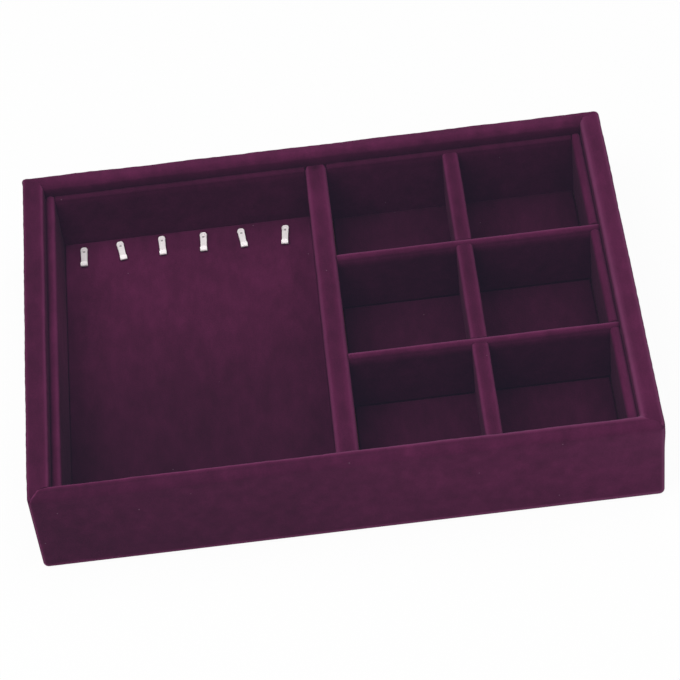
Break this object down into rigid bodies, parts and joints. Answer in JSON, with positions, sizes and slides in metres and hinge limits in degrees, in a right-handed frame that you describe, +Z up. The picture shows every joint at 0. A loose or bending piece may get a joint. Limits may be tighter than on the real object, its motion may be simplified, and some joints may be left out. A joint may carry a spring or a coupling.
{
  "type": "jewelry tray",
  "caption": "Open rectangular velvet-covered tray with a padded necklace bay with swivelling hooks beside a grid of small compartments.",
  "frame": {"origin": "middle of the underside", "axes": "+X to the right along the length, +Y to the back edge with the hooks, +Z up out of the open top"},
  "size_m": [0.28, 0.2, 0.047],
  "materials": {
    "velvet": "matte short-pile plum velvet",
    "fibreboard": "raw fibreboard",
    "foam": "soft foam sheet",
    "underside": "matte flocked paper",
    "hook_steel": "polished plated strip",
    "nail_steel": "plain steel"
  },
  "bodies": {
    "tray": {"back_cross_divider_board": "fibreboard", "back_cross_divider_velvet": "velvet", "back_liner_board": "fibreboard", "back_liner_velvet": "velvet", "back_wall_board": "fibreboard", "back_wall_velvet": "velvet", "bottom_board": "fibreboard", "compartment_floor_board": "fibreboard", "compartment_floor_velvet": "velvet", "front_cross_divider_board": "fibreboard", "front_cross_divider_velvet": "velvet", "front_liner_board": "fibreboard", "front_liner_velvet": "velvet", "front_wall_board": "fibreboard", "front_wall_velvet": "velvet", "hook_nail_1": "nail_steel", "hook_nail_2": "nail_steel", "hook_nail_3": "nail_steel", "hook_nail_4": "nail_steel", "hook_nail_5": "nail_steel", "hook_nail_6": "nail_steel", "left_liner_board": "fibreboard", "left_liner_velvet": "velvet", "left_wall_board": "fibreboard", "left_wall_velvet": "velvet", "long_divider_board": "fibreboard", "long_divider_velvet": "velvet", "main_divider_board": "fibreboard", "main_divider_velvet": "velvet", "necklace_pad_board": "fibreboard", "necklace_pad_foam": "foam", "necklace_pad_velvet": "velvet", "right_liner_board": "fibreboard", "right_liner_velvet": "velvet", "right_wall_board": "fibreboard", "right_wall_velvet": "velvet", "underside_sheet": "underside"},
    "hook_1": {"hook_1": "hook_steel"},
    "hook_2": {"hook_2": "hook_steel"},
    "hook_3": {"hook_3": "hook_steel"},
    "hook_4": {"hook_4": "hook_steel"},
    "hook_5": {"hook_5": "hook_steel"},
    "hook_6": {"hook_6": "hook_steel"}
  },
  "joints": [
    {"name": "hook_1_swivel", "type": "hinge", "parent": "tray", "child": "hook_1", "pos_m": [-0.1161, 0.0822, 0.0106], "axis": [0, 0, 1], "range_deg": [-44.6, 45.4]},
    {"name": "hook_2_swivel", "type": "hinge", "parent": "tray", "child": "hook_2", "pos_m": [-0.09808, 0.08339, 0.0106], "axis": [0, 0, 1], "range_deg": [-53.6, 36.4]},
    {"name": "hook_3_swivel", "type": "hinge", "parent": "tray", "child": "hook_3", "pos_m": [-0.0777, 0.08369, 0.0106], "axis": [0, 0, 1], "range_deg": [-47, 43]},
    {"name": "hook_4_swivel", "type": "hinge", "parent": "tray", "child": "hook_4", "pos_m": [-0.05729, 0.0829, 0.0106], "axis": [0, 0, 1], "range_deg": [-43.9, 46.1]},
    {"name": "hook_5_swivel", "type": "hinge", "parent": "tray", "child": "hook_5", "pos_m": [-0.03862, 0.0824, 0.0106], "axis": [0, 0, 1], "range_deg": [-51.4, 38.6]},
    {"name": "hook_6_swivel", "type": "hinge", "parent": "tray", "child": "hook_6", "pos_m": [-0.01709, 0.08106, 0.0106], "axis": [0, 0, 1], "range_deg": [-40.1, 49.9]}
  ]
}
